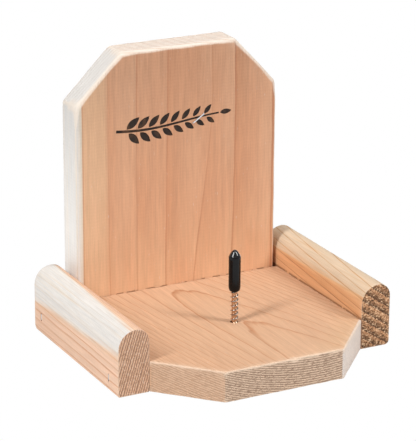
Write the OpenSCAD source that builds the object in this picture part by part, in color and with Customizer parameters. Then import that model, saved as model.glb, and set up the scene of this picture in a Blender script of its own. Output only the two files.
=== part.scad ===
// Cedar platform feeder: a back board, a platform with two side rails,
// and a screw that stands up from the platform to hold a cob of corn.
// Millimetres. +X is to the right, +Y to the rear, +Z up. The origin is on
// the ground, at the middle of the whole object.

/* [Boards] */
// Thickness of the back board and the platform
board_t = 18.7; // [16:0.1:20]
// Width of the platform
base_w = 139.7; // [130:0.1:150]
// Depth of the platform, in front of the back board
base_depth = 137; // [125:0.5:150]
// Width cut off each front corner of the platform
base_clip_w = 31.2; // [15:0.1:40]
// Depth cut off each front corner of the platform
base_clip_d = 33.4; // [15:0.1:45]
// Width of the back board
back_w = 135; // [128:0.1:139]
// Height of the back board
back_h = 170.2; // [150:0.1:190]
// Width cut off the back board's top left corner
back_clip_left = 30.4; // [15:0.1:40]
// Width cut off the back board's top right corner
back_clip_right = 28.2; // [15:0.1:40]
// Height cut off both top corners
back_clip_h = 30.2; // [15:0.1:40]

/* [Side rails] */
// Thickness of a rail
rail_w = 19.7; // [19.7:0.1:22]
// Height of a rail
rail_h = 39.7; // [36:0.1:44]
// How far a rail stops short of the back board's rear face
rail_setback = 4.1; // [1:0.1:6]
// Radius of the rounding on a rail's left top edge
rail_r_left = 11.1; // [8:0.1:11.1]
// Radius of the rounding on a rail's right top edge
rail_r_right = 8.5; // [4:0.1:8.5]
// Radius of the rounding on the right rail's outer bottom edge
rail_foot_r = 2.8; // [1:0.1:5]

/* [Corn screw] */
// Place of the screw, right of the middle
screw_x = 1.4; // [-10:0.1:10]
// Place of the screw, in front of the back board's face
screw_from_back = 71.7; // [60:0.1:80]
// Length of the screw
screw_len = 62; // [55:0.1:64]
// Depth of the screw's head below the platform's underside
screw_recess = 0.4; // [0.2:0.1:1]
// Radius of the thread's crests
screw_r = 2.4; // [2:0.05:2.4]
// Radius of the thread's roots
screw_root_r = 1.6; // [1.2:0.05:1.8]
// Distance from one thread crest to the next
screw_pitch = 2.8; // [2:0.1:3.2]
// Radius of the countersunk head
screw_head_r = 4.7; // [4:0.1:5]

/* [Tip cap] */
// Outer radius of the cap
cap_r = 3.6; // [3.5:0.05:3.8]
// Radius of the cap's bore
cap_bore_r = 2.5; // [2.5:0.05:2.7]
// Length of the cap
cap_len = 25.4; // [20:0.1:30]
// Thickness of the cap's closed end
cap_end_t = 1.4; // [1:0.1:2]

/* [Fasteners] */
// Sideways distance of each back screw from the middle
back_screw_x = 42; // [30:1:50]
// Length of a back screw
back_screw_len = 41; // [35:1:45]
// Radius of a back screw's thread
back_screw_r = 2.05; // [1.8:0.05:2.3]
// Radius of a back screw's head
back_screw_head_r = 4.1; // [3.8:0.1:4.5]
// Outside length of a rail staple's crown
rail_staple_crown = 5; // [4:0.1:7]
// Length of a rail staple's legs
rail_staple_leg = 31; // [28:0.5:34]
// How far a rail staple's crown is sunk into the rail
rail_staple_sink = 0.5; // [0.3:0.1:1]
// Height of the front staple in each rail
front_staple_z = 7.5; // [5:0.5:14]
// Height of the rear staple in each rail
rear_staple_z = 10.5; // [5:0.5:14]
// Distance of the front staple from the rail's front end
front_staple_y = 13.2; // [10:0.1:30]
// Distance of the rear staple from the rail's rear end
rear_staple_y = 9.7; // [6:0.1:12]
// Outside length of the tag staple's crown
tag_staple_crown = 9.5; // [8:0.1:12]
// Length of the tag staple's legs
tag_staple_leg = 6; // [4:0.5:8]
// How far the tag staple's crown stands off the board
tag_staple_gap = 0.25; // [0.1:0.05:0.5]
// Place of the tag staple, right of the middle
tag_staple_x = 14; // [-30:0.5:30]
// Height of the tag staple's middle
tag_staple_z = 123.3; // [80:0.1:150]
// Slope of the tag staple's crown
tag_staple_angle = 34; // [-90:1:90]

/* [Hidden] */
$fn = 64;

// Faces of the boards along Y, and the rails' length
front_y = -(base_depth + board_t) / 2;
board_face_y = front_y + base_depth;
rear_y = board_face_y + board_t;
rail_front_y = front_y + base_clip_d;
rail_rear_y = rear_y - rail_setback;
rail_len = rail_rear_y - rail_front_y;

// Fasteners
fit_gap = 0.05;                // clearance of a fastener in its hole
cut = 1;                       // extra length of a cutting shape
head_angle_h = 2.4;            // height of the corn screw's head cone
head_land = 0.4;               // straight edge of a screw head
shank_r = 2.3;                 // radius of the corn screw's smooth shank
thread_start = 16;             // from the head to the first thread
point_len = 6;                 // length of the corn screw's point
crest_w = 0.3;                 // flat on each thread crest
recess_w = 0.9;                // width of a cross recess's slots
recess_len = 4.4;              // length of a cross recess's slots
recess_depth = 1.8;            // depth of a cross recess
back_head_h = 2.2;             // height of a back screw's head cone
back_root_r = 1.4;             // radius of a back screw's roots
back_pitch = 2.4;              // distance between a back screw's crests
back_point_len = 4;            // length of a back screw's point
back_thread_start = 10;        // from a back screw's head to its thread
back_shank_r = 1.8;            // radius of a back screw's smooth shank
wire_w = 1.2;                  // rail staple wire, across
wire_t = 1;                    // rail staple wire, through
tag_wire_w = 0.9;              // tag staple wire, across
tag_wire_t = 0.6;              // tag staple wire, through
cap_taper_h = 1.6;             // height over which the cap's rim narrows
cap_rim_r = 3;                // outer radius at the cap's rim
cap_top_z = screw_recess + screw_len + 0.2 + cap_end_t;
screw_y = board_face_y - screw_from_back;
back_screw_z = board_t / 2;

WOOD = [0.87, 0.66, 0.50];
PALE_WOOD = [0.92, 0.82, 0.72];
STEEL = [0.70, 0.68, 0.64];
VINYL = [0.05, 0.05, 0.06];

// Points of one side of a threaded shaft, from z0 up to z1.
function thread_side(z0, z1, root, crest, pitch) =
    [for (i = [0 : floor((z1 - z0) / pitch) - 1])
        for (p = [[root, 0.1], [crest, 0.45], [crest, 0.45 + crest_w / pitch], [root, 0.9]])
            [p[0], z0 + (i + p[1]) * pitch]];

// The quarter of a disc that lies between +X and +Y
module quarter_disc(r) intersection() {
    circle(r);
    square(r);
}

// A flat-head wood screw that stands on its head, with a cross recess.
module wood_screw(len, head_r, cone_h, shank, start, root, crest, pitch, point) {
    difference() {
        rotate_extrude() polygon(concat(
            [[0, 0], [head_r, 0], [head_r, head_land], [shank, head_land + cone_h], [shank, start]],
            thread_side(start, len - point, root, crest, pitch),
            [[root, len - point], [0, len]]));
        for (a = [0, 90])
            rotate([0, 0, a])
                translate([-recess_len / 2, -recess_w / 2, -cut])
                    cube([recess_len, recess_w, recess_depth + cut]);
    }
}

// The hole that a wood screw fills: countersink, then a straight bore.
module screw_hole(len, head_r, cone_h, shank, crest) {
    rotate_extrude() polygon([
        [0, -cut], [head_r + fit_gap, -cut], [head_r + fit_gap, head_land],
        [crest + fit_gap, head_land + cone_h * (head_r - crest) / (head_r - shank)],
        [crest + fit_gap, len + fit_gap], [0, len + fit_gap]]);
}

// A staple whose crown lies along X and whose legs run along +Y from 0.
module staple(crown, leg, across, through, gap = 0) {
    translate([-crown / 2 - gap, -gap, -across / 2 - gap])
        cube([crown + 2 * gap, through + 2 * gap, across + 2 * gap]);
    for (x = [-crown / 2, crown / 2 - through])
        translate([x - gap, -gap, -across / 2 - gap])
            cube([through + 2 * gap, leg + 2 * gap, across + 2 * gap]);
}

// Places
module at_corn_screw() translate([screw_x, screw_y, screw_recess]) children();
module at_back_screw(side)
    translate([side * back_screw_x, rear_y - screw_recess, back_screw_z])
        rotate([90, 0, 0]) children();
module at_rail_staple(side, y, z)
    translate([side * (base_w / 2 + rail_w - rail_staple_sink), y, z])
        rotate([0, 0, side * 90]) rotate([0, 90, 0]) children();
module at_tag_staple()
    translate([tag_staple_x, board_face_y - tag_wire_t - tag_staple_gap, tag_staple_z])
        rotate([0, -tag_staple_angle, 0]) children();

module corn_screw_solid()
    wood_screw(screw_len, screw_head_r, head_angle_h, shank_r, thread_start,
               screw_root_r, screw_r, screw_pitch, point_len);
module corn_screw_hole()
    screw_hole(board_t + cut, screw_head_r, head_angle_h, shank_r, screw_r);
module back_screw_solid()
    wood_screw(back_screw_len, back_screw_head_r, back_head_h, back_shank_r, back_thread_start,
               back_root_r, back_screw_r, back_pitch, back_point_len);
module back_screw_hole()
    screw_hole(back_screw_len, back_screw_head_r, back_head_h, back_shank_r, back_screw_r);
module rail_staple_solid(gap = 0)
    staple(rail_staple_crown, rail_staple_leg, wire_w, wire_t, gap);
module tag_staple_solid(gap = 0)
    staple(tag_staple_crown, tag_staple_leg + tag_wire_t + tag_staple_gap, tag_wire_w, tag_wire_t, gap);

// The slot that a rail staple leaves: its own shape, open to the rail's face.
module rail_staple_slot() {
    rail_staple_solid(fit_gap);
    translate([-rail_staple_crown / 2 - fit_gap, -rail_staple_sink - cut, -wire_w / 2 - fit_gap])
        cube([rail_staple_crown + 2 * fit_gap, rail_staple_sink + cut + wire_t, wire_w + 2 * fit_gap]);
}
module front_staple_slot(side)
    at_rail_staple(side, rail_front_y + front_staple_y, front_staple_z) rail_staple_slot();
module rear_staple_slot(side)
    at_rail_staple(side, rail_rear_y - rear_staple_y, rear_staple_z) rail_staple_slot();

// Upright board with clipped top corners
module back_board() {
    color(WOOD) difference() {
        translate([0, rear_y, 0]) rotate([90, 0, 0])
            linear_extrude(board_t) polygon([
                [-back_w / 2, 0], [back_w / 2, 0],
                [back_w / 2, back_h - back_clip_h], [back_w / 2 - back_clip_right, back_h],
                [back_clip_left - back_w / 2, back_h], [-back_w / 2, back_h - back_clip_h]]);
        for (side = [-1, 1]) {
            at_back_screw(side) back_screw_hole();
            rear_staple_slot(side);
        }
        at_tag_staple() tag_staple_solid(fit_gap);
    }
}

// Platform with clipped front corners
module base_board() {
    half = base_w / 2;
    color(WOOD) difference() {
        linear_extrude(board_t) polygon([
            [-half, board_face_y], [-half, rail_front_y], [base_clip_w - half, front_y],
            [half - base_clip_w, front_y], [half, rail_front_y], [half, board_face_y]]);
        at_corn_screw() corn_screw_hole();
        for (side = [-1, 1]) {
            at_back_screw(side) back_screw_hole();
            front_staple_slot(side);
        }
    }
}

// Section of a rail, from its left bottom corner
module rail_section() {
    square([rail_w, rail_h - rail_r_left]);
    translate([rail_r_left, 0]) square([rail_w - rail_r_left, rail_h - rail_r_right]);
    translate([rail_r_left, 0]) square([rail_w - rail_r_left - rail_r_right, rail_h]);
    translate([rail_r_left, rail_h - rail_r_left]) rotate(90) quarter_disc(rail_r_left);
    translate([rail_w - rail_r_right, rail_h - rail_r_right]) quarter_disc(rail_r_right);
}

// Section of the right rail, whose outer bottom edge is rounded too
module right_rail_section() difference() {
    rail_section();
    translate([rail_w - rail_foot_r, 0]) difference() {
        translate([0, -cut]) square(rail_foot_r + cut);
        translate([0, rail_foot_r]) circle(rail_foot_r);
    }
}

module rail(side) {
    left_x = side < 0 ? -base_w / 2 - rail_w : base_w / 2;
    color(PALE_WOOD) difference() {
        translate([left_x, rail_rear_y, 0]) rotate([90, 0, 0])
            linear_extrude(rail_len)
                if (side < 0) rail_section(); else right_rail_section();
        front_staple_slot(side);
        rear_staple_slot(side);
    }
}
module left_rail() rail(-1);
module right_rail() rail(1);

// Screw that holds the cob
module corn_screw() color(STEEL) at_corn_screw() corn_screw_solid();

// Vinyl cap over the screw's point, closed by a dome
module screw_tip_cap() {
    dome_z = cap_len - cap_r;
    bore_dome_z = cap_len - cap_end_t - cap_bore_r;
    color(VINYL) translate([screw_x, screw_y, cap_top_z - cap_len])
        rotate_extrude() difference() {
            union() {
                polygon([[0, 0], [cap_rim_r, 0], [cap_r, cap_taper_h], [cap_r, dome_z], [0, dome_z]]);
                translate([0, dome_z]) quarter_disc(cap_r);
            }
            translate([0, -cut]) square([cap_bore_r, bore_dome_z + cut]);
            translate([0, bore_dome_z]) quarter_disc(cap_bore_r);
        }
}

// Screws from behind, through the back board into the platform
module back_screw_left() color(STEEL) at_back_screw(-1) back_screw_solid();
module back_screw_right() color(STEEL) at_back_screw(1) back_screw_solid();

// Staples through the rails: the front ones hold the platform, the rear ones the back board
module front_staple(side) color(STEEL)
    at_rail_staple(side, rail_front_y + front_staple_y, front_staple_z) rail_staple_solid();
module rear_staple(side) color(STEEL)
    at_rail_staple(side, rail_rear_y - rear_staple_y, rear_staple_z) rail_staple_solid();
module left_rail_front_staple() front_staple(-1);
module left_rail_rear_staple() rear_staple(-1);
module right_rail_front_staple() front_staple(1);
module right_rail_rear_staple() rear_staple(1);

// Staple left in the back board's face, where a tag hung
module tag_staple() color(STEEL) at_tag_staple() tag_staple_solid();

back_board();
base_board();
left_rail();
right_rail();
corn_screw();
screw_tip_cap();
back_screw_left();
back_screw_right();
left_rail_front_staple();
left_rail_rear_staple();
right_rail_front_staple();
right_rail_rear_staple();
tag_staple();
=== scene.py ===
"""Looks of the cedar platform feeder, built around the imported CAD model.

Metres, in the CAD model's frame: +X right, +Y rear, +Z up. The boards are
solid blocks of procedural cedar, so that face grain and end grain agree.
"""

import math
from functools import partial
from typing import NamedTuple

import bmesh
import bpy
from mathutils import Matrix, Vector, noise


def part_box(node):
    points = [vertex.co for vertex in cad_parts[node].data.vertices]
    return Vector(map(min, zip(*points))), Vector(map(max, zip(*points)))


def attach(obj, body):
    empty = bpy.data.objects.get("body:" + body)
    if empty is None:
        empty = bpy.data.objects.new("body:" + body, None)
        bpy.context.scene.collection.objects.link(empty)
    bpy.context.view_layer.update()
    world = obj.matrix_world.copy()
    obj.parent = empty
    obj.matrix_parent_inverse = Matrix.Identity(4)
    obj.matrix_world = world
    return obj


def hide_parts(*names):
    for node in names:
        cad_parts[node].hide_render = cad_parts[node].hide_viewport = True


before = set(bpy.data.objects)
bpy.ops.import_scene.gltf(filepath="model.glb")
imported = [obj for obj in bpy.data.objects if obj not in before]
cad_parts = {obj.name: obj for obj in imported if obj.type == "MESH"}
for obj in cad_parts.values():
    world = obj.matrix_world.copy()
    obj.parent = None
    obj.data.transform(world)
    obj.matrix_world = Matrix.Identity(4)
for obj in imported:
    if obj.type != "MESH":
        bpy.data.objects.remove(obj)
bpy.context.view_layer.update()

MM = 0.001
SLOT_GAP = 0.05 * MM  # between a staple and the wood
BORE_GAP = 0.06 * MM  # between a screw and the wood
SPILL = 1.0 * MM  # how far a cutter stands out of what it cuts


def box_of(node):
    """Lowest and highest corners of a CAD node."""
    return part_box(node)


# ---- mesh building

class Outline:
    """A convex outline with rounded corners, which can be moved inwards at any of its points."""

    ARC_STEPS = 6

    def __init__(self, corners, radii, step):
        self.corners = [Vector(c) for c in corners]
        self.radii = radii
        self.samples = []
        count = len(corners)
        for k in range(count):
            for j in range(self.ARC_STEPS + 1):
                self.samples.append((k, "arc", j / self.ARC_STEPS))
            length = (self.corners[(k + 1) % count] - self.corners[k]).length
            pieces = max(2, round(length / step))
            for j in range(1, pieces):
                self.samples.append((k, "edge", j / pieces))

    def _corner(self, k, inset):
        count = len(self.corners)
        corner = self.corners[k]
        back = (self.corners[k - 1] - corner).normalized()
        ahead = (self.corners[(k + 1) % count] - corner).normalized()
        half = math.acos(max(-1.0, min(1.0, back.dot(ahead)))) / 2
        middle = (back + ahead).normalized()
        radius = max(self.radii[k] - inset, 0.12 * self.radii[k])
        moved = corner + middle * (inset / math.sin(half))
        reach = radius / math.tan(half)
        return moved + back * reach, moved + ahead * reach, moved + middle * (radius / math.sin(half))

    def point(self, sample, inset=0.0):
        """Where a sample lies when the outline is moved inwards by inset."""
        k, kind, t = sample
        start, end, centre = self._corner(k, inset)
        if kind == "edge":
            following = self._corner((k + 1) % len(self.corners), inset)[0]
            return end.lerp(following, t)
        a, b = start - centre, end - centre
        turn = a.angle_signed(b)
        return centre + Matrix.Rotation(-turn * t, 2) @ a


def skin(bm, loops):
    """Joins closed loops of vertices in turn and fills the two end ones. A loop may be one vertex."""
    for a, b in zip(loops, loops[1:]):
        for k in range(max(len(a), len(b))):
            if len(a) == 1:
                bm.faces.new((a[0], b[k], b[k - 1]))
            elif len(b) == 1:
                bm.faces.new((a[k - 1], a[k], b[0]))
            else:
                bm.faces.new((a[k - 1], a[k], b[k], b[k - 1]))
    for end in (loops[0], loops[-1]):
        if len(end) > 1:
            bm.faces.new(end)


def rounded_prism(name, outline, low, high, place, ease, rows, insets):
    """A closed block on an outline, from low to high, whose arrises are eased.

    place(u, v, w) gives the point in the frame. ease(u, v, end) gives the arris
    radius at a place on the outline, with end "low" or "high". rows is the number
    of rows up the wall, and insets are the loops on each face, inside the arris.
    """
    arc = [math.radians(a) for a in range(0, 91, 18)]
    faces = {"low": low, "high": high}
    spots = [outline.point(s) for s in outline.samples]
    eases = {end: [ease(p.x, p.y, end) for p in spots] for end in faces}

    def on_face(end, inset):
        return lambda i: (eases[end][i] + inset, faces[end])

    def on_arris(end, a):
        inwards = 1 if end == "low" else -1
        return lambda i: (eases[end][i] * (1 - math.cos(a)),
                          faces[end] + inwards * eases[end][i] * (1 - math.sin(a)))

    def on_wall(share):
        def spot(i):
            bottom, top = low + eases["low"][i], high - eases["high"][i]
            return 0.0, bottom + (top - bottom) * share
        return spot

    spots_of_loops = (
        [on_face("low", d) for d in reversed(insets)] + [on_arris("low", a) for a in reversed(arc)]
        + [on_wall(r / rows) for r in range(1, rows)]
        + [on_arris("high", a) for a in arc] + [on_face("high", d) for d in insets])
    bm = bmesh.new()
    loops = []
    for inset_and_height in spots_of_loops:
        made = []
        for i, sample in enumerate(outline.samples):
            inset, height = inset_and_height(i)
            p = outline.point(sample, inset)
            made.append(bm.verts.new(place(p.x, p.y, height)))
        loops.append(made)
    skin(bm, loops)
    return mesh_object(name, bm)


def mesh_object(name, bm):
    """Turns a bmesh into an object in the scene."""
    bmesh.ops.recalc_face_normals(bm, faces=bm.faces[:])
    mesh = bpy.data.meshes.new(name)
    bm.to_mesh(mesh)
    bm.free()
    made = bpy.data.objects.new(name, mesh)
    bpy.context.scene.collection.objects.link(made)
    return made


def cut_away(board, cutters):
    """Cuts closed shapes out of a board; the cut faces keep the cutters' materials, if they have any."""
    for cutter in cutters:
        if not cutter.data.materials:
            cutter.data.materials.append(board.data.materials[0])
        modifier = board.modifiers.new("cut", "BOOLEAN")
        modifier.operation = "DIFFERENCE"
        modifier.solver = "EXACT"
        modifier.material_mode = "TRANSFER"
        modifier.object = cutter
    bpy.context.view_layer.update()
    graph = bpy.context.evaluated_depsgraph_get()
    cut = bpy.data.meshes.new_from_object(board.evaluated_get(graph))
    board.modifiers.clear()
    old = board.data
    board.data = cut
    cut.name = board.name
    bpy.data.meshes.remove(old)
    for cutter in cutters:
        bpy.data.objects.remove(cutter)


def shade(piece, angle=38):
    """Smooth shading with sharp edges past an angle in degrees."""
    piece.data.shade_smooth()
    piece.data.set_sharp_from_angle(angle=math.radians(angle))


def ring(bm, place, height, radii):
    """One loop of a turned surface, with the radius at each of its vertices."""
    turns = [2 * math.pi * s / len(radii) for s in range(len(radii))]
    return [bm.verts.new(place @ Vector((r * math.cos(a), r * math.sin(a), height)))
            for r, a in zip(radii, turns)]


def turned(bm, place, profile, sides):
    """Loops of a surface of revolution. profile is (radius, height), with radius 0 on the axis."""
    return [ring(bm, place, height, [radius] * (sides if radius else 1)) for radius, height in profile]


# ---- material nodes

class Graph:
    """Adds shader nodes to a new material or world, and joins them."""

    def __init__(self, name, kind="materials"):
        self.block = getattr(bpy.data, kind).new(name)
        self.block.use_nodes = True
        self.tree = self.block.node_tree
        self.tree.nodes.clear()

    def node(self, kind, inputs=(), **settings):
        made = self.tree.nodes.new(kind)
        for key, value in settings.items():
            setattr(made, key, value)
        pairs = inputs.items() if isinstance(inputs, dict) else enumerate(inputs)
        for key, value in pairs:
            if isinstance(value, bpy.types.NodeSocket):
                self.tree.links.new(value, made.inputs[key])
            elif value is not None:
                made.inputs[key].default_value = value
        return made

    def math(self, operation, a, b=None, c=None):
        return self.node("ShaderNodeMath", (a, b, c), operation=operation).outputs[0]

    def add(self, *terms):
        total = terms[0]
        for term in terms[1:]:
            total = self.math("ADD", total, term)
        return total

    def minus(self, a, b):
        return self.math("SUBTRACT", a, b)

    def times(self, a, b):
        return self.math("MULTIPLY", a, b)

    def linear(self, value, slope, offset):
        return self.math("MULTIPLY_ADD", value, slope, offset)

    def ramp(self, value, a, b, low=0.0, high=1.0, smooth=True):
        """low where value is a, high where it is b."""
        kind = "SMOOTHSTEP" if smooth else "LINEAR"
        made = self.node("ShaderNodeMapRange", (value, a, b, low, high), interpolation_type=kind)
        return made.outputs[0]

    def point(self):
        """The point on the piece, as a dictionary of millimetres along X, Y and Z."""
        xyz = self.node("ShaderNodeSeparateXYZ", (self.node("ShaderNodeTexCoord").outputs["Object"],))
        return {axis: self.times(xyz.outputs[axis], 1 / MM) for axis in "XYZ"}

    def noise_at(self, uvw, sizes, shift=0.0, detail=2.0, rough=0.5):
        """Noise from 0 to 1 whose features have these sizes, in millimetres, along each coordinate."""
        scaled = [self.linear(c, 1 / s, shift) for c, s in zip(uvw, sizes)]
        vector = self.node("ShaderNodeCombineXYZ", scaled).outputs[0]
        inputs = {"Vector": vector, "Scale": 1.0, "Detail": detail, "Roughness": rough}
        return self.node("ShaderNodeTexNoise", inputs).outputs["Fac"]

    def random(self, value):
        """One random number from 0 to 1 for each whole number."""
        return self.node("ShaderNodeTexWhiteNoise", {"W": value}, noise_dimensions="1D").outputs["Value"]

    def mix(self, share, a, b):
        made = self.node("ShaderNodeMix", data_type="RGBA")
        for index, value in ((0, share), (6, a), (7, b)):
            if isinstance(value, bpy.types.NodeSocket):
                self.tree.links.new(value, made.inputs[index])
            elif index:
                made.inputs[index].default_value = (*value, 1.0)
            else:
                made.inputs[index].default_value = value
        return made.outputs[2]

    def brighten(self, colour, factor):
        """A colour times one number."""
        made = self.node("ShaderNodeVectorMath", operation="SCALE")
        self.tree.links.new(colour, made.inputs[0])
        self.tree.links.new(factor, made.inputs["Scale"])
        return made.outputs[0]

    def finish(self, colour, roughness, height=None, depth=0.0002, strength=1.0, **sockets):
        """The shader and the output. Values in sockets are set on the shader itself."""
        shader = self.node("ShaderNodeBsdfPrincipled")
        sockets.update(Base_Color=colour, Roughness=roughness)
        for key, value in sockets.items():
            socket = shader.inputs[key.replace("_", " ")]
            if isinstance(value, bpy.types.NodeSocket):
                self.tree.links.new(value, socket)
            else:
                socket.default_value = value
        if height is not None:
            bump = self.node("ShaderNodeBump", {"Strength": strength, "Distance": depth, "Height": height})
            self.tree.links.new(bump.outputs[0], shader.inputs["Normal"])
        output = self.node("ShaderNodeOutputMaterial")
        self.tree.links.new(shader.outputs[0], output.inputs[0])
        return self.block


# Painted contact shade: the dark brown painted along the joints where the boards meet.
PAINTED_JOINT_SHADE = (0.24, 0.10, 0.045)


def years_in(g, uvw, rings, wander, shift):
    """Depth in the log, in years, so that each whole number starts a growth ring."""
    across, through, along = uvw
    off = g.minus(across, g.linear(along, rings["drift"], rings["centre"]))
    bent = g.times(g.times(off, off), rings["curve"])
    slow = g.noise_at(uvw, (38, 38, 160), shift + 3.1)
    quick = g.noise_at(uvw, (5, 5, 20), shift + 8.7, 3.0)
    depth = g.add(
        g.times(g.minus(through, rings["face"]), rings["through"]),
        g.times(across, rings["slope"]), bent, g.times(along, rings["tilt"]),
        g.times(g.minus(slow, 0.5), rings["slow"]),
        g.times(g.minus(quick, 0.5), rings["quick"]))
    if wander:
        near = g.math("DIVIDE", g.minus(across, wander["at"]), wander["width"])
        bell = g.math("EXPONENT", g.times(g.times(near, near), -1.0))
        below = g.math("MINIMUM", g.minus(along, wander["level"]), 0.0)
        lean = g.linear(below, wander["lean"], wander["offset"])
        depth = g.add(depth, g.times(bell, lean))
    years = g.add(g.math("DIVIDE", depth, rings["spacing"]), rings["phase"])
    if rings["uneven"]:
        uneven = g.node("ShaderNodeTexNoise", {"W": g.times(years, 0.55), "Scale": 1.0, "Detail": 1.0},
                        noise_dimensions="1D").outputs["Fac"]
        years = g.add(years, g.times(uneven, rings["uneven"]))
    return years


def end_grain(g, uvw, part, plane, colours, sap, shift):
    """Colour and height of a sawn end: hard dark year lines, torn pores and saw scratches."""
    across, through, along = uvw
    pore = g.noise_at(uvw, (0.35, 0.35, 2), shift + 4.4, 2.0, 0.6)
    torn = g.noise_at(uvw, (*colours["tear"], 6), shift + 6.1, 3.0, 0.62)
    slanted = (g.add(across, g.times(through, 0.5)), through, along)
    scratch = g.noise_at(slanted, (9.0, 0.7, 9), shift + 2.6, 2.0)
    band = g.ramp(part, 0.0, colours["end_width"], 1.0, 0.0, smooth=False)
    band = g.math("MAXIMUM", band, g.ramp(part, 0.90, 1.0))
    broken = g.times(band, g.ramp(torn, 0.30, 0.60, 0.60, 1.15))
    colour = g.mix(g.times(broken, colours["end_contrast"]), colours["end_early"], colours["end_late"])
    colour = g.mix(g.ramp(torn, 0.48, 0.38, 0.0, colours["pores"]), colour, colours["pore"])
    colour = g.mix(g.ramp(torn, 0.55, 0.64, 0.0, colours["chips"]), colour, colours["chip"])
    in_sap = g.ramp(plane, sap["end_at"], sap["end_at"] + sap["end_soft"], 0.0, sap["end"])
    colour = g.mix(in_sap, colour, colours["sap"])
    level = g.add(g.linear(pore, 0.30, 0.85), g.linear(scratch, 0.22, -0.11))
    height = g.add(g.times(pore, 1.2), g.times(broken, -0.9), g.times(torn, 1.3), g.times(scratch, 0.5))
    return g.brighten(colour, level), height


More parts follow.
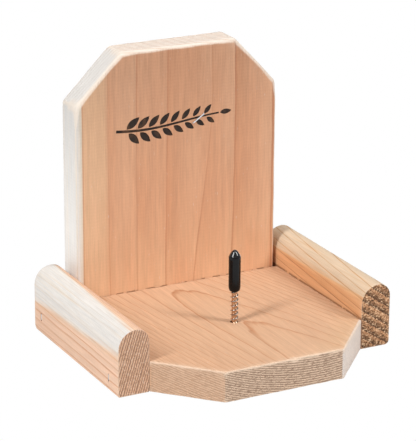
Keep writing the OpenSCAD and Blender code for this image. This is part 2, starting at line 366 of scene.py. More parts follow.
def cedar(name, axes, rings, colours, sap, wander=None, joint=None, shift=0.0):
    """Solid cedar. axes names the coordinates across, through and along the board.

    rings gives the growth rings' depth in the log, in millimetres: how fast it grows
    through, across (slope, curve) and along (tilt) the board, and the rings' spacing.
    sap is a plane beyond which the wood is pale sapwood. wander bends one ring line.
    joint puts a thin broken line of painted contact shade low on one face, over the board it stands on.
    """
    g = Graph(name)
    point = g.point()
    uvw = tuple(point[axis] for axis in axes)
    across, through, along = uvw
    normal = g.node("ShaderNodeSeparateXYZ", (g.node("ShaderNodeNewGeometry").outputs["Normal"],)).outputs
    wear_and_painted_shade = g.node("ShaderNodeAttribute", attribute_name="wear_and_painted_shade").outputs["Fac"]
    strand = g.noise_at(uvw, (2.2, 2.2, 70), shift + 5.3, 2.0)
    fibre = g.noise_at(uvw, (0.9, 0.9, 16), shift, 4.0, 0.65)

    # Each year is darkest at its line, and fades into the next; luck is one number a year.
    years = years_in(g, uvw, rings, wander, shift)
    part = g.math("FRACT", years)
    luck = g.random(g.math("FLOOR", years))
    late = g.math("POWER", g.minus(1.0, part), rings["fade"])
    width = rings["line"]
    line = g.math("MAXIMUM", g.ramp(part, 0.0, width, 1.0, 0.0), g.ramp(part, 1 - width * 0.35, 1.0))
    tone = g.times(late, g.linear(luck, 0.9, 0.35))
    broken_line = g.ramp(strand, 0.25, 0.6, 0.45, 1.0)
    stroke = g.times(g.times(line, g.linear(luck, 0.55, 0.70)), broken_line)

    # Broad stains, the pale flecks of cut fibres, dark specks and the planer's ripple.
    stain = g.noise_at(uvw, (20, 20, 80), shift + 1.7, 3.0)
    fleck = g.ramp(g.noise_at(uvw, (0.9, 0.9, 4.5), shift + 9.2, 1.0), 0.70, 0.80)
    speck = g.ramp(g.noise_at(uvw, (1.5, 1.5, 3.0), shift + 7.9, 1.0), 0.20, 0.14)
    ripple = g.math("SINE", g.linear(along, 2 * math.pi / 2.1, g.times(strand, 7.0)))

    # Heartwood, paler at the board's foot with painted bounce light from the platform, then the halo and the
    # sapwood past the sap plane.
    face = g.mix(g.times(tone, colours["tone"]), colours["early"], colours["late"])
    face = g.mix(g.ramp(along, 80.0, 15.0, 0.0, colours["foot"]), face, colours["halo"])
    face = g.mix(g.times(stroke, colours["stroke"]), face, colours["line"])
    face = g.mix(g.ramp(stain, 0.35, 0.7, 0.0, colours["stain"]), face, colours["blush"])
    plane = g.add(g.times(across, sap["across"]), g.times(through, sap["through"]),
                  g.times(along, sap["along"]), g.times(strand, sap["ragged"]))
    halo = g.ramp(plane, sap["at"] - sap["halo"], sap["at"] - sap["halo"] * (1 - sap["rise"]))
    face = g.mix(g.times(halo, sap["glow"]), face, colours["halo"])
    pale = g.times(g.ramp(plane, sap["at"], sap["at"] + sap["soft"]), sap["share"])
    streak = g.add(g.times(stroke, sap["lines"]), g.ramp(strand, 0.50, 0.72, 0.0, 0.30))
    sapwood = g.mix(g.ramp(plane, sap["at"], sap["at"] + sap["fades"]), colours["sap_near"], colours["sap"])
    face = g.mix(pale, face, g.mix(streak, sapwood, colours["sap_streak"]))
    from_seam = g.math("ABSOLUTE", g.minus(plane, sap["at"]))
    seam = g.times(g.ramp(from_seam, 0.10, 0.55, sap["seam"], 0.0), g.ramp(fibre, 0.35, 0.55, 0.4, 1.0))
    face = g.mix(seam, face, colours["line"])
    face = g.mix(g.times(fleck, 0.30), face, colours["sap"])
    face = g.mix(g.times(speck, 0.45), face, colours["line"])
    # Brightness from fibres, strands and ripple, times a painted light gradient along the board: brighter at
    # the foot, darker at the top.
    level = g.add(
        g.linear(fibre, colours["fibre"], 1.0 - colours["fibre"] / 2),
        g.linear(strand, 0.26, -0.13), g.times(ripple, 0.014),
        g.ramp(along, *colours["painted_light_along"], smooth=False))
    face = g.brighten(face, level)

    # The ends of the board show end grain instead.
    end = g.ramp(g.math("ABSOLUTE", normal["XYZ".index(axes[2])]), *colours["end_from"])
    cross, end_height = end_grain(g, uvw, part, plane, colours, sap, shift)
    face = g.mix(end, face, cross)

    # Eased and fuzzy arrises are paler, and the joints get a broken line of painted contact shade.
    fuzz = g.times(g.math("MAXIMUM", wear_and_painted_shade, 0.0), g.ramp(fibre, 0.25, 0.6, 0.45, 1.0))
    colour = g.mix(g.times(fuzz, colours["arris"]), face, colours["edge"])
    colour = g.mix(g.ramp(wear_and_painted_shade, 0.0, -1.0, 0.0, 0.9), colour, PAINTED_JOINT_SHADE)
    if joint:
        broken_shade = g.ramp(g.noise_at(uvw, (5, 5, 5), shift + 6.6, 2.0),
                      joint["from"], joint["from"] + 0.08, 0.0, joint["share"])
        above = g.ramp(uvw[joint["up"]], joint["level"] + 0.35, joint["level"] + joint["height"], 1.0, 0.0)
        inside = g.ramp(uvw[joint["side"]], joint["face"] + 0.3, joint["face"] + 0.8, 1.0, 0.0)
        colour = g.mix(g.times(g.times(above, broken_shade), inside), colour, PAINTED_JOINT_SHADE)

    grain_height = g.add(
        g.times(fibre, 0.7), g.times(stroke, -0.35), g.times(fleck, 0.3), g.times(ripple, 0.08))
    height = g.add(g.times(grain_height, g.minus(1.0, end)), g.times(end_height, end))
    rough = g.linear(end, 0.22, g.linear(fibre, 0.16, 0.52))
    return g.finish(colour, rough, height, depth=0.00025, strength=0.6, Specular_IOR_Level=0.30)


def char():
    """Scorched wood on the floor of the burned mark."""
    g = Graph("char")
    xyz = g.point().values()
    fibre = g.noise_at(xyz, (0.5, 0.5, 12), 2.0, 3.0, 0.6)
    patch = g.noise_at(xyz, (5, 5, 9), 7.0, 2.0)
    colour = g.mix(g.ramp(patch, 0.45, 0.75, 0.0, 0.75), (0.018, 0.011, 0.008), (0.095, 0.045, 0.022))
    colour = g.mix(g.ramp(fibre, 0.55, 0.8, 0.0, 0.35), colour, (0.16, 0.085, 0.045))
    return g.finish(colour, g.ramp(fibre, 0.2, 0.8, 0.55, 0.8), fibre, Specular_IOR_Level=0.3)


def steel(name, tint, dull_and_painted_reflection, scale, root=None, metallic=1.0, rough=(0.10, 0.22)):
    """Plated steel: faint blotches of plating and fine drawing marks; on the screw the dark blotches are
    painted reflections of the black cap.

    root is the colour where the point attribute "crest" is 0, down in a thread; on the screw it is a painted
    orange reflection of the cedar.
    """
    g = Graph(name)
    xyz = g.point().values()
    blotch = g.noise_at(xyz, (scale, scale, scale), 3.0, 3.0, 0.6)
    scratch = g.noise_at(xyz, (0.09, 0.09, 0.6), 5.0, 2.0, 0.6)
    colour = g.mix(g.ramp(blotch, 0.4, 0.7), tint, dull_and_painted_reflection)
    if root:
        crest = g.node("ShaderNodeAttribute", attribute_name="crest").outputs["Fac"]
        colour = g.mix(g.ramp(crest, 0.35, 0.9), root, colour)
    gloss = g.add(g.ramp(blotch, 0.3, 0.7, *rough), g.times(scratch, 0.10))
    return g.finish(colour, gloss, scratch, depth=0.00002, strength=0.5, Metallic=metallic)


def vinyl():
    """Black dipped vinyl with soft flow ripples and a little dust, and a smoother, glossier end."""
    g = Graph("black_vinyl")
    point = g.point()
    xyz = point.values()
    ripple = g.noise_at(xyz, (2.4, 2.4, 7), 1.0, 2.0)
    dust = g.ramp(g.noise_at(xyz, (0.35, 0.35, 0.35), 4.0, 2.0), 0.66, 0.78)
    scuff = g.noise_at(xyz, (0.8, 0.8, 5), 8.0, 3.0, 0.6)
    colour = g.mix(g.times(dust, 0.05), (0.0035, 0.0035, 0.004), (0.22, 0.20, 0.18))
    dipped = g.ramp(point["Z"], 59.6, 60.4)
    rough = g.times(g.ramp(scuff, 0.35, 0.75, 0.12, 0.22), g.linear(dipped, -0.80, 1.0))
    height = g.times(g.add(ripple, g.times(scuff, 0.12)), g.linear(dipped, -0.75, 1.0))
    return g.finish(colour, rough, height, depth=0.00025, strength=0.12, Specular_IOR_Level=0.20,
                    Coat_Weight=dipped, Coat_Roughness=0.03)


# What the boards share, and then each board's own linear colours, growth rings and sap plane.
SHARED = dict(
    sap=(0.650, 0.625, 0.595), sap_near=(0.645, 0.575, 0.500), sap_streak=(0.61, 0.50, 0.38),
    halo=(0.62, 0.42, 0.24), edge=(0.70, 0.55, 0.42), chip=(0.62, 0.45, 0.32), pore=(0.15, 0.08, 0.045),
    tone=0.85, stroke=1.0, stain=0.5, arris=0.6, fibre=0.44, painted_light_along=(0.0, 1.0, 0.0, 0.0), foot=0.0,
    end_from=(0.45, 0.95), end_width=0.75, end_contrast=0.9, pores=0.45, chips=0.5)
RINGS = dict(face=0.0, curve=0.0, centre=0.0, drift=0.0, tilt=0.0, phase=0.0, uneven=0.6)
SAP = dict(through=0.0, halo=2.0, rise=1.0, lines=0.35, seam=0.0, end=0.0, end_at=0.0, end_soft=1.0)


def woods():
    """The four boards' materials."""
    return {
        "back": cedar(
            "cedar_back_board", "XYZ",
            dict(RINGS, face=59.15, through=1.0, slope=0.136, curve=-0.00028, spacing=2.9, phase=0.36,
                 slow=0.5, quick=0.14, uneven=0.0, fade=1.5, line=0.06),
            dict(SHARED, early=(0.545, 0.305, 0.184), late=(0.470, 0.225, 0.119), line=(0.35, 0.140, 0.07),
                 halo=(0.59, 0.385, 0.235), blush=(0.52, 0.255, 0.140), sap=(0.605, 0.585, 0.560),
                 sap_near=(0.560, 0.480, 0.380), edge=(0.69, 0.60, 0.51), arris=0.80, stroke=0.72,
                 # Painted light: paler and brighter towards the foot, darker towards the top.
                 painted_light_along=(8.0, 160.0, 0.42, -0.15), foot=0.70,
                 end_early=(0.74, 0.67, 0.60), end_late=(0.48, 0.24, 0.12), end_from=(0.30, 0.65),
                 end_contrast=0.95, end_width=0.40, pores=0.15, chips=0.3, chip=(0.80, 0.73, 0.66),
                 tear=(3.0, 0.9)),
            dict(SAP, across=-1.0, along=0.0, ragged=1.0, at=63.4, soft=0.7, share=1.0, halo=18.0,
                 rise=0.25, glow=0.62, seam=0.5, fades=4.0, end=0.85, end_at=34.0, end_soft=8.0),
            wander=dict(at=17.0, width=13.0, level=129.0, lean=-0.0180, offset=-1.43),
            joint={"up": 2, "side": 1, "level": 18.7, "height": 0.75, "face": 59.15, "from": 0.49,
                   "share": 0.72},
            shift=2.0),
        "base": cedar(
            "cedar_platform", "XZY",
            dict(RINGS, face=18.7, through=1.0, slope=0.0, curve=-0.0033, centre=5.0, drift=-0.216,
                 tilt=-0.021, spacing=1.4, phase=0.56, slow=0.7, quick=0.32, uneven=0.3, fade=3.0,
                 line=0.11),
            dict(SHARED, early=(0.575, 0.355, 0.222), late=(0.51, 0.282, 0.154), line=(0.40, 0.180, 0.085),
                 blush=(0.565, 0.325, 0.198), sap=(0.630, 0.565, 0.520), sap_near=(0.630, 0.565, 0.520),
                 stain=0.35, tone=0.55, end_early=(0.66, 0.48, 0.35), end_late=(0.14, 0.075, 0.045),
                 pores=0.65, chips=0.75, tear=(2.8, 0.7)),
            dict(SAP, across=1.0, along=-0.9, ragged=0.6, at=107.6, soft=1.0, share=0.75, halo=30.0,
                 glow=0.25, fades=1.0, end=0.95, end_at=107.2, end_soft=1.2),
            shift=11.0),
        "left": cedar(
            "cedar_left_rail", "XZY",
            dict(RINGS, through=-0.30, slope=0.97, tilt=0.004, spacing=1.5, slow=0.8, quick=0.14,
                 fade=2.0, line=0.24),
            dict(SHARED, early=(0.735, 0.505, 0.365), late=(0.68, 0.43, 0.29), line=(0.50, 0.22, 0.11),
                 blush=(0.62, 0.38, 0.26), end_early=(0.66, 0.40, 0.26), end_late=(0.10, 0.042, 0.022),
                 chips=0.55, chip=(0.74, 0.55, 0.42), tear=(0.7, 1.6)),
            dict(SAP, across=-0.92, through=0.6, along=0.036, ragged=5.0, at=97.4, soft=2.4, share=0.95,
                 glow=0.2, lines=0.45, fades=3.0),
            shift=23.0),
        "right": cedar(
            "cedar_right_rail", "XZY",
            dict(RINGS, through=0.82, slope=0.57, tilt=-0.085, spacing=4.8, phase=0.3, slow=1.2,
                 quick=0.30, fade=2.4, line=0.11),
            dict(SHARED, early=(0.69, 0.395, 0.210), late=(0.63, 0.32, 0.148), line=(0.30, 0.12, 0.045),
                 blush=(0.65, 0.335, 0.155), halo=(0.64, 0.42, 0.23), sap=(0.605, 0.485, 0.355),
                 sap_near=(0.61, 0.475, 0.335), sap_streak=(0.46, 0.24, 0.095),
                 end_early=(0.46, 0.232, 0.113), end_late=(0.050, 0.019, 0.008),
                 pore=(0.05, 0.022, 0.010), pores=0.95, chip=(0.76, 0.52, 0.32), chips=1.0,
                 tear=(1.2, 0.9)),
            dict(SAP, across=0.57, through=0.82, along=0.02, ragged=2.5, at=67.1, soft=1.0, share=0.85,
                 glow=0.5, lines=0.9, fades=4.0),
            joint={"up": 1, "side": 0, "level": 18.7, "height": 1.6, "face": 69.85, "from": 0.30,
                   "share": 0.75},
            shift=37.0),
    }


# ---- the boards

def wavy(x, y, z, size, seed):
    """Smooth noise from -1 to 1 at a point in metres."""
    return noise.noise(Vector((x / size + seed, y / size, z / size)))


def mark_wear_and_painted_shade(board, wear):
    """Stores each vertex's wear, from 0 to 1, or below 0 for painted contact shade, for the cedar shader."""
    layer = board.data.attributes.new("wear_and_painted_shade", "FLOAT", "POINT")
    layer.data.foreach_set("value", [wear(v.co) for v in board.data.vertices])


def near_corner(u, v, corners, reach):
    """1 at the outline's nearest corner, falling to 0 away from it."""
    nearest = min((Vector((u, v)) - Vector(c)).length for c in corners)
    return math.exp(-(nearest / reach) ** 2)


def arris_by_planes(planes, radius_at):
    """Arris mask: 1 on an eased arris of a convex block, 0 past it; it marks wear, and the platform's
    painted rear shade.
    """
    def wear(co):
        gap = sorted(d - n.dot(co) for n, d in planes)[1]
        radius = radius_at(co)
        return max(0.0, min(1.0, (1.05 * radius - gap) / (0.35 * radius)))
    return wear


def block_planes(corners, low, high, place):
    """The faces of a prism as (outward normal, offset)."""
    centre = place(sum(c[0] for c in corners) / len(corners), sum(c[1] for c in corners) / len(corners),
                   (low + high) / 2)
    planes = []

    def plane(a, b, c):
        n = (b - a).cross(c - a).normalized()
        if n.dot(centre - a) > 0:
            n = -n
        planes.append((n, n.dot(a)))

    for k in range(len(corners)):
        p, q = corners[k - 1], corners[k]
        plane(place(*p, low), place(*q, low), place(*p, high))
    for w in (low, high):
        plane(place(*corners[0], w), place(*corners[1], w), place(*corners[2], w))
    return planes


def prism_cutter(outline, low, high, place):
    """A closed cutter: an outline of (u, v) pairs drawn out from low to high."""
    bm = bmesh.new()
    skin(bm, [[bm.verts.new(place(u, v, w)) for u, v in outline] for w in (low, high)])
    return mesh_object("cutter", bm)


def flat(u, v, w):
    """A point of a board that lies flat."""
    return Vector((u, v, w))


def upright(u, v, w):
    """A point of a board whose outline stands upright, facing the front."""
    return Vector((u, w, v))


# ---- where the metal parts sit

def place_of(origin, x_axis, y_axis):
    """A placement whose local X and Y run along the given directions."""
    x, y = Vector(x_axis).normalized(), Vector(y_axis).normalized()
    z = x.cross(y)
    turn = Matrix((x, y, z)).transposed().to_4x4()
    return Matrix.Translation(Vector(origin)) @ turn


class Staple:
    """A staple node: local X along the crown, local Y along the legs, into the wood."""

    PROUD = 0.4 * MM  # how far a rail staple's crown stands out of its CAD box

    def __init__(self, node, legs, wire, slope=0.0, crown=None):
        low, high = box_of(node)
        start = (low + high) / 2
        self.across, self.thick = wire
        legs = Vector(legs)
        if abs(legs.x) > 0.5:
            start.x = low.x - self.PROUD if legs.x > 0 else high.x + self.PROUD
            self.leg = high.x - low.x
            self.crown = high.z - low.z
            direction = Vector((0, 0, 1))
        else:
            start.y = low.y
            self.leg = high.y - low.y
            self.crown = crown
            direction = Vector((math.cos(slope), 0, math.sin(slope)))
        self.place = place_of(start, direction, legs)

    def slot(self, open_by):
        """The cutter for the slot it leaves in the wood."""
        half, t, leg = self.crown / 2 + SLOT_GAP, self.thick + SLOT_GAP, self.leg + SLOT_GAP
        inner = half - t - SLOT_GAP
        shape = [(-half, -open_by), (half, -open_by), (half, leg), (inner, leg), (inner, t),
                 (-inner, t), (-inner, leg), (-half, leg)]
        side = self.across / 2 + SLOT_GAP
        return prism_cutter(shape, -side, side, lambda u, v, w: self.place @ Vector((u, v, w)))

    def build(self, name, bend):
        """Wire with rounded edges, bent corners and chisel points."""
        half, t = self.crown / 2 - self.thick / 2, self.thick / 2
        spine = [(Vector((-half, self.leg)), 0.08), (Vector((-half, self.leg - 2.2 * self.thick)), 1.0)]
        for s in range(1, 5):
            spine.append((Vector((-half, self.leg + (bend + t - self.leg) * s / 5)), 1.0))
        for s in range(7):
            a = math.pi / 2 * s / 6
            spine.append((Vector((-half + bend * (1 - math.cos(a)), t + bend * (1 - math.sin(a)))), 1.0))
        mirrored = [(Vector((-p.x, p.y)), w) for p, w in reversed(spine)]
        inner = half - bend
        spine += [(Vector((-inner + 2 * inner * s / 10, t)), 1.0) for s in range(1, 10)] + mirrored
        section = []
        for k in range(16):
            a = 2 * math.pi * (k + 0.5) / 16
            c, s = math.cos(a), math.sin(a)
            section.append((math.copysign(abs(c) ** 0.45, c) * self.thick / 2,
                            math.copysign(abs(s) ** 0.45, s) * self.across / 2))
        bm = bmesh.new()
        loops = []
        for i, (point, width) in enumerate(spine):
            ahead = spine[min(i + 1, len(spine) - 1)][0] - spine[max(i - 1, 0)][0]
            out = Vector((-ahead.y, ahead.x)).normalized()
            loops.append([
                bm.verts.new(self.place @ Vector((
                    point.x + out.x * n * width, point.y + out.y * n * width, b)))
                for n, b in section])
        skin(bm, loops)
        return mesh_object(name, bm)


class Screw(NamedTuple):
    """A wood screw's sizes. Heights are measured from the top of its head."""

    head_r: float
    cone_h: float
    shank_r: float
    thread_from: float
    root_r: float
    crest_r: float
    pitch: float
    point: float
    sides: int


LAND, DISH = 0.4 * MM, 0.35 * MM
CORN_SCREW = Screw(head_r=4.7 * MM, cone_h=2.4 * MM, shank_r=2.3 * MM, thread_from=16 * MM,
                   root_r=1.6 * MM, crest_r=2.4 * MM, pitch=2.8 * MM, point=6 * MM, sides=36)
BACK_SCREW = Screw(head_r=4.1 * MM, cone_h=2.2 * MM, shank_r=1.8 * MM, thread_from=10 * MM,
                   root_r=1.4 * MM, crest_r=2.05 * MM, pitch=2.4 * MM, point=4 * MM, sides=20)
PAST_PLATFORM = 25 * MM  # a bore this long leaves the platform's top


def screw_place(node, axis):
    """A screw node's placement, with local Z from its head to its point, and its length."""
    low, high = box_of(node)
    middle = (low + high) / 2
    if axis == "+Z":
        return place_of((middle.x, middle.y, low.z), (1, 0, 0), (0, 1, 0)), high.z - low.z
    return place_of((middle.x, high.y, middle.z), (1, 0, 0), (0, 0, 1)), high.y - low.y


def screw_hole(place, length, screw):
    """The cutter for a screw's countersink and bore."""
    head, bore = screw.head_r + BORE_GAP, screw.crest_r + BORE_GAP
    cone_end = LAND + screw.cone_h * (screw.head_r - screw.crest_r) / (screw.head_r - screw.shank_r)
    profile = [(0, -SPILL), (head + 3 * BORE_GAP, -SPILL), (head, 0.35 * MM), (bore, cone_end),
               (bore, length), (0, length + 0.4 * MM)]
    bm = bmesh.new()
    skin(bm, turned(bm, place, profile, 40))
    return mesh_object("cutter", bm)


def recess_cutter(place):
    """The cutter for a cross recess, which tapers to the bottom and has a small centre pit."""
    arm, wide, deep = 2.2 * MM, 0.45 * MM, 1.8 * MM
    bm = bmesh.new()
    loops = []
    for height, share in ((-0.5 * MM, 1.1), (deep * 0.35, 0.95), (deep, 0.42)):
        a, w = arm * share, wide * (0.6 + 0.4 * share)
        cross = [(a, -w), (a, w), (w, w), (w, a), (-w, a), (-w, w), (-a, w), (-a, -w), (-w, -w), (-w, -a),
                 (w, -a), (w, -w)]
        loops.append([bm.verts.new(place @ Vector((x, y, height))) for x, y in cross])
    skin(bm, loops + turned(bm, place, [(0, deep * 1.25)], 1))
    return mesh_object("cutter", bm)


def thread_height(turn):
    """Height of the thread, from 0 to 1, over one turn."""
    turn = turn % 1.0
    from_crest = min(turn, 1.0 - turn)
    return max(0.0, min(1.0, 1.0 - (from_crest - 0.03) / 0.15))


def build_screw(name, place, length, screw, material):
    """A wood screw with one helical thread that runs out onto its point, and a cross recess."""
    step = screw.pitch / screw.sides
    rise_over = 1.3 * screw.pitch
    flare = screw.head_r - screw.shank_r
    head = [(0, DISH), (screw.head_r * 0.86, 0.05 * MM), (screw.head_r * 0.97, 0.0),
            (screw.head_r, 0.12 * MM), (screw.head_r, LAND),
            (screw.shank_r + 0.35 * flare, LAND + 0.62 * screw.cone_h),
            (screw.shank_r + 0.10 * flare, LAND + 0.90 * screw.cone_h),
            (screw.shank_r, LAND + 1.05 * screw.cone_h),
            (screw.shank_r, (LAND + screw.cone_h + screw.thread_from) / 2),
            (screw.shank_r, screw.thread_from - step)]
    bm = bmesh.new()
    loops = turned(bm, place, head, screw.sides)
    for row in range(int((length - screw.thread_from) / step)):
        height = screw.thread_from + row * step
        left = length - height
        core = screw.root_r * min(1.0, max(0.05, left / screw.point) ** 0.75)
        risen = min(1.0, (height - screw.thread_from) / rise_over)
        body = screw.shank_r + (core - screw.shank_r) * min(1.0, risen * 2.5)
        run_out = min(1.0, max(0.0, left - 0.6 * MM) / (0.55 * screw.point))
        tall = (screw.crest_r - screw.root_r) * run_out * risen
        loops.append(ring(bm, place, height, [
            body + tall * thread_height((height - screw.thread_from) / screw.pitch - s / screw.sides)
            for s in range(screw.sides)]))
    skin(bm, loops + turned(bm, place, [(0, length)], 1))
    made = mesh_object(name, bm)
    made.data.materials.append(material)
    cut_away(made, [recess_cutter(place)])
    layer = made.data.attributes.new("crest", "FLOAT", "POINT")
    back = place.inverted()
    for v in made.data.vertices:
        height = ((back @ v.co).xy.length - screw.root_r) / (screw.crest_r - screw.root_r)
        layer.data[v.index].value = max(0.0, min(1.0, height))
    return made


# ---- the burned sprig

def leaf_loop(start, end, width, grow):
    """The outline of a pointed leaf from start to end."""
    line = end - start
    side = Vector((-line.y, line.x)).normalized()
    ahead = line.normalized()
    start, end = start - ahead * grow * 1.4, end + ahead * grow * 1.4
    shares = [k / 9 for k in range(10)]
    out = [math.sin(math.pi * t) ** 0.85 * (1.12 - 0.35 * t) for t in shares]
    up = [start.lerp(end, t) + side * (width * o + grow * min(1, 4 * o)) for t, o in zip(shares, out)]
    down = [start.lerp(end, t) - side * (width * o + grow * min(1, 4 * o)) for t, o in zip(shares, out)]
    return up + down[-2:0:-1]


def stem_point(t):
    """A point on the sprig's stem, in millimetres across and up."""
    return Vector((-41 + 69 * t, 122.0 + 3.0 * t - 3.6 * math.sin(math.pi * t) * (1 - t)))


def stem_loop(grow):
    """The outline of the stem, which thins towards its tip."""
    shares = [k / 30 for k in range(31)]
    up, down = [], []
    for t in shares:
        ahead = (stem_point(t + 0.01) - stem_point(t - 0.01)).normalized()
        side = Vector((-ahead.y, ahead.x))
        half = 0.80 - 0.38 * t + grow
        up.append(stem_point(t) + side * half)
        down.append(stem_point(t) - side * half)
    return up + down[::-1]


def sprig_cutter(face):
    """Stem and leaves with sloping sides, sunk a little into the board's face."""
    leaves = []
    for k in range(8):
        t = 0.10 + 0.108 * k
        root = stem_point(t)
        ahead = (stem_point(t + 0.01) - stem_point(t - 0.01)).normalized()
        side = Vector((-ahead.y, ahead.x))
        for turn in (1, -1):
            length = (10.6 - 0.5 * k) * (1.0 if turn > 0 else 0.92)
            lean = (ahead * 0.74 + side * turn * 0.67).normalized()
            foot = root + side * turn * 1.35 + ahead * (0.0 if turn > 0 else 1.6)
            leaves.append((foot, foot + lean * length, 2.3 - 0.12 * k))
    tip, before = stem_point(1.0), stem_point(0.97)
    ahead = (tip - before).normalized()
    leaves.append((tip + ahead * 0.9, tip + ahead * 8.6, 1.6))
    bm = bmesh.new()
    for shape in [stem_loop] + [partial(leaf_loop, *leaf) for leaf in leaves]:
        skin(bm, [[bm.verts.new(Vector((p.x * MM, face + depth, p.y * MM))) for p in shape(grow)]
                  for depth, grow in ((-0.25 * MM, 0.20), (0.40 * MM, -0.08))])
    return mesh_object("cutter", bm)


# ---- the pieces

wood = woods()
back_low, back_high = box_of("back_board")
base_low, base_high = box_of("base_board")
materials = {
    "char": char(),
    # The screw's orange thread roots are a painted reflection of the cedar, and its dark blotches painted
    # reflections of the black cap.
    "screw": steel("screw_steel", (0.52, 0.51, 0.49), (0.16, 0.15, 0.14), 1.1, root=(0.56, 0.38, 0.26),
                   rough=(0.18, 0.30)),
    "staple": steel("staple_wire", (0.70, 0.72, 0.75), (0.50, 0.50, 0.51), 0.8, metallic=0.6,
                    rough=(0.20, 0.34)),
    "vinyl": vinyl(),
}

TAG_WIRE, RAIL_WIRE = (0.7 * MM, 0.5 * MM), (1.2 * MM, 1.0 * MM)
staples = {"tag_staple": Staple("tag_staple", (0, 1, 0), TAG_WIRE, math.radians(34), 9.5 * MM)}
for side, inwards in (("left", 1), ("right", -1)):
    for end in ("front", "rear"):
        node = f"{side}_rail_{end}_staple"
        staples[node] = Staple(node, (inwards, 0, 0), RAIL_WIRE)
corn_place, corn_length = screw_place("corn_screw", "+Z")
back_places = {side: screw_place(f"back_screw_{side}", "-Y") for side in ("left", "right")}


def fastener_cutters(end):
    """The back screws' holes, and the slots of the staples at one end of the rails."""
    holes = [screw_hole(place, length, BACK_SCREW) for place, length in back_places.values()]
    return holes + [staple.slot(0.45 * MM) for name, staple in staples.items() if end in name]


def board_corners(node, axes):
    """A clipped board's corners, in order round it, from the CAD node's own vertices."""
    spots = {(round(v.co["XYZ".index(axes[0])], 5), round(v.co["XYZ".index(axes[1])], 5))
             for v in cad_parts[node].data.vertices}
    hull = sorted(spots)

    def half_hull(points):
        chain = []
        for p in points:
            while len(chain) > 1 and (
                    (chain[-1][0] - chain[-2][0]) * (p[1] - chain[-2][1])
                    - (chain[-1][1] - chain[-2][1]) * (p[0] - chain[-2][0])) <= 1e-9:
                chain.pop()
            chain.append(p)
        return chain[:-1]
    return half_hull(hull) + half_hull(hull[::-1])


def build_back_board():
    corners = board_corners("back_board", "XZ")
    upper = [c for c in corners if c[1] > 1 * MM]
    radii = [(4.5 if c in upper else 0.8) * MM for c in corners]

    def ease(u, v, end):
        """Small at the foot; wider at the front, round the clipped top."""
        if v < 4 * MM:
            return 0.5 * MM
        uneven = 1 + 0.22 * wavy(u, v, 0, 0.012, 3.0) + 0.12 * wavy(u, v, 0, 0.003, 8.0)
        if end == "high":
            return 0.9 * MM * uneven
        clipped = min(1.0, max(0.0, (v - 0.128) / 0.012))
        return (0.9 + 1.3 * clipped + 0.9 * near_corner(u, v, upper, 0.008)) * MM * uneven

    outline = Outline(corners, radii, 2.2 * MM)
    board = rounded_prism("back_board_cedar", outline, back_low.y, back_high.y, upright, ease, 5,
                          (0.25 * MM, 4.5 * MM))
    board.data.materials.append(wood["back"])
    sprig = sprig_cutter(back_low.y)
    sprig.data.materials.append(materials["char"])
    cut_away(board, fastener_cutters("rear") + [sprig])
    cut_away(board, [staples["tag_staple"].slot(0.0)])
    middle = (back_low.y + back_high.y) / 2
    mark_wear_and_painted_shade(board, arris_by_planes(
        block_planes(corners, back_low.y, back_high.y, upright),
        lambda co: ease(co.x, co.z, "low" if co.y < middle else "high")))
    return board


def build_base_board():
    corners = board_corners("base_board", "XY")
    rear, front = base_high.y - 1 * MM, base_low.y
    clips_end = front + 34 * MM
    chip_at, chip_width = 5.5 * MM, 2.4 * MM
    radii = [(0.5 if c[1] > rear else 1.4) * MM for c in corners]

    def ease(u, v, end):
        """Uneven; wider where the board is sawn, chipped in one place, and gappy at the back joint."""
        uneven = 1 + 0.55 * wavy(u, v, 0, 0.007, 5.0) + 0.35 * wavy(u, v, 0, 0.002, 9.0)
        sawn = min(1.0, max(0.0, (clips_end - v) / (3 * MM)))
        if end == "low":
            return (0.4 + 0.3 * sawn) * MM * uneven
        if v > rear:
            return (0.30 + 1.3 * max(0.0, wavy(u, 0, 0, 0.009, 2.0) + 0.15)) * MM
        chip = 2.0 * math.exp(-((u - chip_at) / chip_width) ** 2) if v < front + 3 * MM else 0.0
        return ((0.35 + 0.80 * sawn) * uneven + chip) * MM

    outline = Outline(corners, radii, 1.3 * MM)
    board = rounded_prism("base_board_cedar", outline, base_low.z, base_high.z, flat, ease, 6,
                          (0.25 * MM, 3.5 * MM))
    board.data.materials.append(wood["base"])
    cut_away(board, fastener_cutters("front") + [screw_hole(corn_place, PAST_PLATFORM, CORN_SCREW)])
    middle = (base_low.z + base_high.z) / 2
    planes = block_planes(corners, base_low.z, base_high.z, flat)
    sides = planes[:-2]
    arris_mask = arris_by_planes(planes, lambda co: ease(co.x, co.y, "low" if co.z < middle else "high"))

    def wear(co):
        """Painted contact shade along the rear joint; at the front the arrises show wear, and the top is
        rubbed pale beside them.
        """
        if co.y > rear - 2 * MM:
            return -arris_mask(co)
        if min(base_high.z - co.z, co.z - base_low.z) > 2.5 * MM:
            return 0.0
        rubbed = 0.0
        if co.z > base_high.z - 0.3 * MM and co.y < clips_end:
            rubbed = 0.55 * max(0.0, 1 - min(d - n.dot(co) for n, d in sides) / (3.2 * MM))
        return max(arris_mask(co), rubbed)
    mark_wear_and_painted_shade(board, wear)
    return board


def rounding_cutter(low, high, r):
    """Takes off the lower rear arris of a rail, from side to side."""
    arc = [(high.y - r * (1 - math.cos(math.radians(a))), low.z + r * (1 - math.sin(math.radians(a))))
           for a in range(0, 91, 15)]
    shape = arc + [(high.y - r, low.z - SPILL), (high.y + SPILL, low.z - SPILL), (high.y + SPILL, low.z + r)]
    return prism_cutter(shape, low.x - SPILL, high.x + SPILL, lambda u, v, w: Vector((w, u, v)))


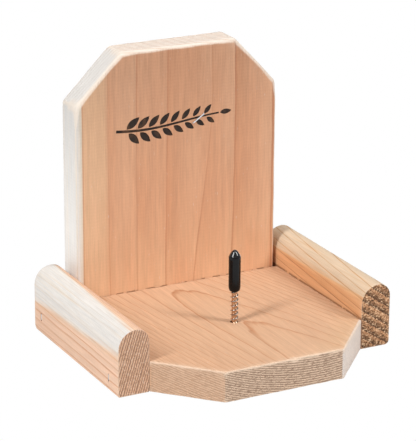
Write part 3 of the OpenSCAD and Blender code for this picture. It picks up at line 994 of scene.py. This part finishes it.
def build_rail(side):
    """A round-topped rail. The left one's lower rear arris is rounded by wear."""
    low, high = box_of(f"{side}_rail")
    corners = [(low.x, low.z), (high.x, low.z), (high.x, high.z), (low.x, high.z)]
    foot = 2.8 * MM if side == "right" else 0.9 * MM
    radii = [0.9 * MM, foot, 8.5 * MM, 11.1 * MM]
    sway_seed = 12.0 if side == "left" else 31.0
    sway_most = 0.10 * MM

    def ease(u, v, end):
        uneven = 1 + 0.35 * wavy(u, v, 0, 0.006, 4.0) + 0.25 * wavy(u, v, 0, 0.002, 6.0)
        return 0.28 * MM * uneven

    outline = Outline(corners, radii, 1.6 * MM)
    rail = rounded_prism(f"{side}_rail_cedar", outline, low.y, high.y, upright, ease, 34,
                         (0.7 * MM, 2.6 * MM))
    for v in rail.data.vertices:
        sway = sway_most * wavy(v.co.x, v.co.y, v.co.z, 0.022, sway_seed)
        centre = Vector(((low.x + high.x) / 2, v.co.y, (low.z + high.z) / 2))
        if v.co.z > low.z + 4 * MM:
            v.co += (v.co - centre).normalized() * (sway - sway_most)
    rail.data.materials.append(wood[side])
    cutters = [staple.slot(0.7 * MM) for name, staple in staples.items() if name.startswith(side)]
    if side == "left":
        cutters.append(rounding_cutter(low, high, 4.5 * MM))
    cut_away(rail, cutters)

    def wear(co):
        end_gap = min(co.y - low.y, high.y - co.y)
        edge = min(co.x - low.x, high.x - co.x, co.z - low.z, high.z - co.z)
        return max(0.0, 1 - end_gap / (0.5 * MM)) * max(0.0, 1 - max(edge, 0.0) / (0.6 * MM))
    mark_wear_and_painted_shade(rail, wear)
    return rail


def build_cap():
    """Dip-moulded vinyl: a rolled rim, a long barrel that swells a little, and a bullet-shaped end."""
    low, high = box_of("screw_tip_cap")
    centre = (low + high) / 2
    r = (high.x - low.x) / 2
    bore, length, end_wall, dome, rim = 2.5 * MM, high.z - low.z, 1.4 * MM, 4.2 * MM, 2.6 * MM
    profile = [(0, length - end_wall)]
    for k in range(1, 9):
        a = math.radians(90 * k / 8)
        profile.append((bore * math.sin(a), length - end_wall - bore + bore * math.cos(a)))
    profile += [(bore, 1.2 * MM), (bore + 0.08 * MM, 0.35 * MM), (bore + 0.25 * MM, 0.05 * MM),
                (2.88 * MM, 0.0), (3.02 * MM, 0.10 * MM), (3.16 * MM, 0.4 * MM), (3.36 * MM, 0.95 * MM),
                (r - 0.08 * MM, 1.6 * MM), (r - 0.02 * MM, rim)]
    for k in range(1, 9):
        height = rim + (length - dome - rim) * k / 9
        profile.append((r - (0.02 + 0.02 * math.cos(k * 1.9)) * MM, height))
    for k in range(14):
        share = math.cos(math.radians(90 * k / 14))
        profile.append((r * share, length - dome * share * share))
    profile.append((0, length))
    bm = bmesh.new()
    skin(bm, turned(bm, Matrix.Translation(Vector((centre.x, centre.y, low.z))), profile, 56))
    return mesh_object("screw_tip_cap_vinyl", bm)


def add(piece, node, body, material=None, angle=38):
    """Gives a piece its finish and smooth shading, puts it on its body and hides the CAD node it stands for.
    """
    if material:
        piece.data.materials.append(material)
    shade(piece, angle)
    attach(piece, body)
    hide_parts(node)


add(build_back_board(), "back_board", "stand")
add(build_base_board(), "base_board", "stand")
add(build_rail("left"), "left_rail", "stand")
add(build_rail("right"), "right_rail", "stand")
add(build_screw("corn_screw_thread", corn_place, corn_length, CORN_SCREW, materials["screw"]),
    "corn_screw", "stand", angle=60)
for side, (place, length) in back_places.items():
    add(build_screw(f"back_screw_{side}_thread", place, length, BACK_SCREW, materials["screw"]),
        f"back_screw_{side}", "stand", angle=60)
for name, staple in staples.items():
    bend = 0.55 * MM if name == "tag_staple" else 0.8 * MM
    add(staple.build(f"{name}_wire", bend), name, "stand", materials["staple"], 50)
add(build_cap(), "screw_tip_cap", "cap", materials["vinyl"], 50)


# ---- the studio

WHITE = (1.0, 1.0, 1.0, 1.0)
FEEDER_MIDDLE = Vector((0, 0, 0.06))


def build_floor():
    """A matte floor just under the feeder, which the camera sees as plain white."""
    bm = bmesh.new()
    bmesh.ops.create_grid(bm, x_segments=1, y_segments=1, size=6.0)
    floor = mesh_object("floor", bm)
    floor.location.z = -0.2 * MM
    g = Graph("floor_white")
    seen = g.node("ShaderNodeLightPath").outputs["Is Camera Ray"]
    matte = g.node("ShaderNodeBsdfDiffuse", {"Color": (0.86, 0.86, 0.86, 1.0)})
    glow = g.node("ShaderNodeEmission", {"Color": WHITE, "Strength": 1.0})
    both = g.node("ShaderNodeMixShader", {0: seen, 1: matte.outputs[0], 2: glow.outputs[0]})
    g.node("ShaderNodeOutputMaterial", (both.outputs[0],))
    floor.data.materials.append(g.block)


def softbox(name, location, width, height, watts):
    """A lamp that faces the middle of the feeder."""
    data = bpy.data.lights.new(name, "AREA")
    data.shape = "RECTANGLE"
    data.size, data.size_y, data.energy = width, height, watts
    light = bpy.data.objects.new(name, data)
    bpy.context.scene.collection.objects.link(light)
    light.location = location
    light.rotation_euler = (FEEDER_MIDDLE - Vector(location)).to_track_quat("-Z", "Y").to_euler()


def build_studio():
    """A white backdrop that only the camera sees at full strength, and three softboxes."""
    g = Graph("studio", "worlds")
    seen = g.node("ShaderNodeLightPath").outputs["Is Camera Ray"]
    shown = g.node("ShaderNodeBackground", (WHITE, 1.0))
    lit = g.node("ShaderNodeBackground", (WHITE, 0.36))
    both = g.node("ShaderNodeMixShader", (seen, lit.outputs[0], shown.outputs[0]))
    g.node("ShaderNodeOutputWorld", (both.outputs[0],))
    bpy.context.scene.world = g.block
    softbox("softbox_left", (-2.02, -0.64, 2.12), 0.5, 1.8, 63)
    softbox("softbox_right", (1.42, -1.57, 2.12), 0.5, 1.8, 53)
    softbox("softbox_top", (0.0, 0.0, 2.8), 1.0, 1.0, 12)
    scene = bpy.context.scene
    scene.view_settings.view_transform = "Standard"
    scene.view_settings.look = "None"
    scene.view_settings.exposure = 0.0


def build_camera():
    """At the left of the middle, a little above: the frame is taller than it is wide."""
    eye = (-0.5992, -1.12775, 0.5268)
    yaw, pitch, roll = (math.radians(a) for a in (27.59, 19.35, 0.33))
    ahead = Vector((math.sin(yaw) * math.cos(pitch), math.cos(yaw) * math.cos(pitch), -math.sin(pitch)))
    right = Vector((math.cos(yaw), -math.sin(yaw), 0))
    up = right.cross(ahead)
    right, up = (right * math.cos(roll) + up * math.sin(roll), up * math.cos(roll) - right * math.sin(roll))
    data = bpy.data.cameras.new("camera")
    data.sensor_width = 36
    data.lens = 188.15
    data.clip_start, data.clip_end = 0.05, 20
    camera = bpy.data.objects.new("camera", data)
    bpy.context.scene.collection.objects.link(camera)
    turn = Matrix((right, up, -ahead)).transposed().to_4x4()
    camera.matrix_world = Matrix.Translation(eye) @ turn
    bpy.context.scene.camera = camera


build_floor()
build_studio()
build_camera()
